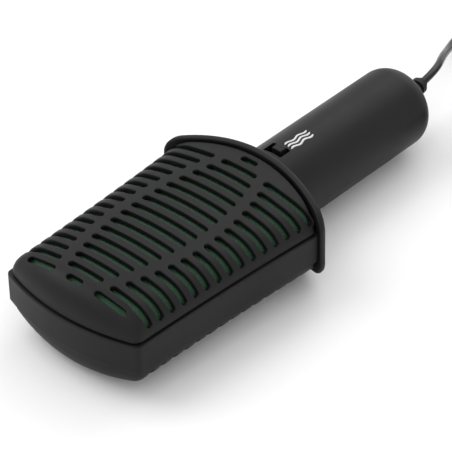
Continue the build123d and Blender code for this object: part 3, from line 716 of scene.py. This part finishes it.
class DRYER_OT_mark(bpy.types.Operator):
    """Print a generic warm-air mark of three wavy strokes on the handle"""

    bl_idname = "dryer.mark"
    bl_label = "Mark"

    def execute(self, context):
        low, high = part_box("handle_shell")
        radius, axis_z = (high[1] - low[1]) / 2, (low[2] + high[2]) / 2
        middle, length, turn = 31.0 * MM, 12.5 * MM, math.radians(-5)
        gap, half, sway = 1.7 * MM, 0.42 * MM, 0.4 * MM
        ink, steps = 0.04 * MM, 48
        bm = bmesh.new()
        for stroke in (-1, 0, 1):
            rows = []
            for k in range(steps + 1):
                x = middle + length * (k / steps - 0.5)
                across = stroke * gap + sway * math.sin(k / steps * 4 * math.pi)
                width = half * min(1.0, 0.35 + 0.2 * min(k, steps - k))
                ring = []
                for side, lift in ((-1, -ink), (-1, ink), (1, ink), (1, -ink)):
                    a = turn + (across + side * width) / radius
                    r = radius + lift
                    ring.append(bm.verts.new((x, r * math.sin(a), axis_z + r * math.cos(a))))
                rows.append(ring)
            for before, after in zip(rows, rows[1:]):
                for j in range(4):
                    n = (j + 1) % 4
                    bm.faces.new([before[j], before[n], after[n], after[j]])
            bm.faces.new(rows[0])
            bm.faces.new(rows[-1][::-1])
        mark = new_object("warm_air_mark", bm)
        # pad-printed ink: a thin matt off-white film, a little uneven where the pad pressed less
        dress(mark, moulded("ink_pad_printed", linear(0xC9C9C9), 0.5, 0.01, 0.55))
        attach(mark, "dryer")
        return {"FINISHED"}


class DRYER_OT_inner_parts(bpy.types.Operator):
    """Finish the heater, the leads and the fixings inside"""

    bl_idname = "dryer.inner_parts"
    bl_label = "Inner parts"

    def execute(self, context):
        # metals vary along their grain, plastics and ceramics by the mottle of their moulding or firing
        looks = {
            metal("aluminium_extruded", linear(0xC9CBCE), 0.34, 3.0, (1, 12, 12)):
                ("ptc_case", "top_fins", "bottom_fins"),
            metal("steel_zinc_plated", linear(0xB4B6B8), 0.3, 1.2):
                ("switch_bracket", "clamp_screws", "switch_screws", "bracket_screws", "fuse_clip"),
            metal("steel_black_oxide", linear(0x2A2A2C), 0.42, 1.0): ("handle_screws",),
            metal("brass_rolled", linear(0xC9A45A), 0.28, 2.0, (1, 8, 8)):
                ("switch_contact", "switch_terminals", "contact_plates"),
            moulded("nylon_glass_filled", linear(0x222224), 0.6, 0.05, 0.55):
                ("chassis", "cord_clamp", "heater_brackets", "thermostat"),
            moulded("polyimide_film", linear(0xB36A14), 1.5, 0.02, 0.3): ("ptc_film",),
            moulded("ptc_ceramic_fired", linear(0x6E6A66), 0.3, 0.04, 0.7): ("ptc_stones",),
            moulded("fuse_glazed_ceramic", linear(0xD8D4C8), 0.8, 0.02, 0.25): ("thermal_fuse",),
            moulded("mica_pressed", linear(0xA89A80), 0.9, 0.06, 0.5): ("heat_shield",),
            moulded("pvc_lead_brown", linear(0x5A3018), 0.7, 0.02, 0.4): ("live_lead", "switched_lead"),
            moulded("pvc_lead_blue", linear(0x24479A), 0.7, 0.02, 0.4): ("neutral_lead",),
        }
        for material, names in looks.items():
            for name in names:
                dress(NODES[name], material)
        return {"FINISHED"}


class DRYER_OT_cord(bpy.types.Operator):
    """Lay the mains cord with its stored coil, strain relief, tie and plug"""

    bl_idname = "dryer.cord"
    bl_label = "Cord"

    def execute(self, context):
        sizes, colours = context.scene.dryer_sizes, context.scene.dryer_colours
        d = sizes.cord / MM
        low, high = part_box("handle_shell")
        axis_z, floor_z, coil_z = (low[2] + high[2]) / 2 / MM, d / 2 + 0.05, d / 2 + 0.6
        coil_x, coil_y, outer, pitch = 181.0, -12.0, 21.85, 3.25
        route = [
            (108.977, 1.754, axis_z), (119.87, 3.284, axis_z), (133.5, 11.0, axis_z - 4.0),
            (145.5, 17.5, axis_z - 9.6), (157.5, 23.0, 5.6), (169.5, 25.8, floor_z + 0.4),
            (181.5, 24.0, floor_z), (191.5, 17.0, floor_z), (198.0, 7.0, floor_z + 0.2)]
        enter, leave = math.radians(24), math.radians(-82)
        sweep = enter - leave + 2 * math.pi * sizes.coil_turns
        # the cord lies in flat spirals, out and in by turns, and climbs to the next one over an arc
        layers, climb = 4, math.radians(40)
        layer_sweep = sweep / layers
        per_turn = 14
        count = round(sweep / (2 * math.pi) * per_turn)
        for k in range(count + 1):
            turned = sweep * k / count
            layer = min(int(turned / layer_sweep), layers - 1)
            part = turned - layer * layer_sweep
            run = part if layer % 2 == 0 else layer_sweep - part
            radius = outer - pitch * run / (2 * math.pi)
            rise = 0.0
            if layer < layers - 1 and layer_sweep - part < climb:
                f = (1 - (layer_sweep - part) / climb) / 2
                rise = f * f * (3 - 2 * f)
            elif layer and part < climb:
                f = 0.5 + part / climb / 2
                rise = f * f * (3 - 2 * f) - 1
            a = enter - turned
            x, y = coil_x + radius * math.cos(a), coil_y + radius * math.sin(a)
            route.append((x, y, coil_z + pitch * (layer + rise)))
        top = coil_z + pitch * (layers - 1)
        route += [
            (coil_x - 6, coil_y - 22.6, top - 0.4), (coil_x - 13, coil_y - 24.2, top - 1.9),
            (coil_x - 19, coil_y - 26.0, 7.6), (coil_x - 25, coil_y - 26.6, 6.85)]
        curve = bpy.data.curves.new("mains_cord", "CURVE")
        curve.dimensions = "3D"
        line = curve.splines.new("NURBS")
        line.points.add(len(route) - 1)
        for point, spot in zip(line.points, route):
            point.co = (*[c * MM for c in spot], 1)
        line.order_u = 3
        line.use_endpoint_u = True
        line.resolution_u = 10
        curve.bevel_depth = sizes.cord / 2
        curve.bevel_resolution = 6
        curve.use_fill_caps = True
        cord = bpy.data.objects.new("mains_cord", curve)
        context.scene.collection.objects.link(cord)
        dress(cord, moulded("pvc_extruded_glossy", colours.cord, 1.2, 0.02, 0.24))
        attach(cord, "dryer")
        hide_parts("power_cord", "cord_coil", "cord_tail")
        # the extruded sheath is glossy and draws thin highlights;
        # the moulded plug, tie and relief are duller
        plug = NODES["plug_body"]
        dress(plug, moulded("pvc_moulded_plug", linear(0x161617), 0.6, 0.04, 0.45))
        dress(NODES["plug_pins"], metal("brass_nickel_plated", linear(0xC8C6C0), 0.2, 1.0))
        dress(NODES["pin_sleeves"], moulded("nylon_pin_sleeve", linear(0x141415), 0.6, 0.02, 0.4))
        dress(NODES["coil_tie"], moulded("nylon_tie", linear(0x19191A), 0.6, 0.04, 0.55))
        dress(NODES["strain_relief"], moulded("rubber_strain_relief", linear(0x171717), 0.6, 0.03, 0.5))
        dress(NODES["cord_stub"], moulded("pvc_extruded_stub", colours.cord, 1.2, 0.02, 0.24))
        return {"FINISHED"}


class DRYER_OT_stage(bpy.types.Operator):
    """Lay the pale floor, set the soft lights and place the camera"""

    bl_idname = "dryer.stage"
    bl_label = "Stage"

    def execute(self, context):
        scene, colours = context.scene, context.scene.dryer_colours
        bm = bmesh.new()
        bmesh.ops.create_grid(bm, x_segments=8, y_segments=8, size=3.0)
        floor = new_object("floor", bm)
        material, tree = new_material("painted_floor")
        place = add_node(tree, "ShaderNodeTexCoord").outputs["Object"]
        blotch = add_node(tree, "ShaderNodeTexNoise", {"Scale": per_metre(90)}, {"Vector": place})
        shade = add_node(
            tree, "ShaderNodeMix",
            {"A": (*colours.floor, 1), "B": (*[c * 0.97 for c in colours.floor], 1)},
            {"Factor": blotch.outputs["Fac"]}, data_type="RGBA")
        shader = add_node(
            tree, "ShaderNodeBsdfPrincipled", {"Roughness": 0.9, "Specular IOR Level": 0.1},
            {"Base Color": shade.outputs["Result"]})
        finish_material(tree, shader)
        dress(floor, material)

        world = bpy.data.worlds.new("studio")
        world.use_nodes = True
        world.node_tree.nodes["Background"].inputs["Color"].default_value = (1, 1, 1, 1)
        world.node_tree.nodes["Background"].inputs["Strength"].default_value = 0.92
        scene.world = world
        centre = Vector((0.02, 0, 0.02))
        for name, spot, size, power in (
            ("key", (-0.35, 0.75, 1.0), 0.9, 6.0),
            ("fill", (-0.9, -0.5, 0.9), 1.1, 1.0),
            ("rim", (0.9, 0.2, 0.7), 0.8, 3.0),
        ):
            lamp = bpy.data.lights.new(name, "AREA")
            lamp.size, lamp.energy = size, power
            light = bpy.data.objects.new(name, lamp)
            light.location = spot
            light.rotation_euler = (centre - Vector(spot)).to_track_quat("-Z", "Y").to_euler()
            scene.collection.objects.link(light)
        scene.view_settings.view_transform = "Standard"

        data = bpy.data.cameras.new("camera")
        data.sensor_width, data.lens = SENSOR, LENS
        data.clip_start, data.clip_end = 0.05, 20.0
        camera = bpy.data.objects.new("camera", data)
        azimuth, elevation, roll = map(math.radians, CAMERA_ANGLES)
        back = Vector((
            math.sin(azimuth) * math.cos(elevation), -math.cos(azimuth) * math.cos(elevation),
            math.sin(elevation)))
        right = Vector((math.cos(azimuth), math.sin(azimuth), 0))
        up = back.cross(right)
        across = right * math.cos(roll) + up * math.sin(roll)
        over = up * math.cos(roll) - right * math.sin(roll)
        turn = Matrix((across, over, back)).transposed().to_4x4()
        camera.matrix_world = Matrix.Translation(CAMERA_SPOT) @ turn
        scene.collection.objects.link(camera)
        scene.camera = camera
        return {"FINISHED"}


STEPS = (
    DRYER_OT_stage, DRYER_OT_cord, DRYER_OT_grilles, DRYER_OT_linings, DRYER_OT_mouldings,
    DRYER_OT_mark, DRYER_OT_inner_parts,
)


class DRYER_PT_panel(bpy.types.Panel):
    """Sizes, colours and build steps of the boot dryer"""

    bl_idname = "DRYER_PT_panel"
    bl_label = "Boot dryer"
    bl_space_type = "VIEW_3D"
    bl_region_type = "UI"
    bl_category = "Boot dryer"

    def draw(self, context):
        for group in (context.scene.dryer_sizes, context.scene.dryer_colours):
            box = self.layout.box()
            for name in group.__annotations__:
                box.prop(group, name)
        for step in STEPS:
            self.layout.operator(step.bl_idname)


CLASSES = (DryerSizes, DryerColours, *STEPS, DRYER_PT_panel)


def register():
    for one in CLASSES:
        bpy.utils.register_class(one)
    bpy.types.Scene.dryer_sizes = PointerProperty(type=DryerSizes)
    bpy.types.Scene.dryer_colours = PointerProperty(type=DryerColours)


def unregister():
    del bpy.types.Scene.dryer_colours
    del bpy.types.Scene.dryer_sizes
    for one in reversed(CLASSES):
        bpy.utils.unregister_class(one)


def main():
    """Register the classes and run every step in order."""
    register()
    for step in STEPS:
        group, name = step.bl_idname.split(".")
        getattr(getattr(bpy.ops, group), name)()


if __name__ == "__main__":
    main()
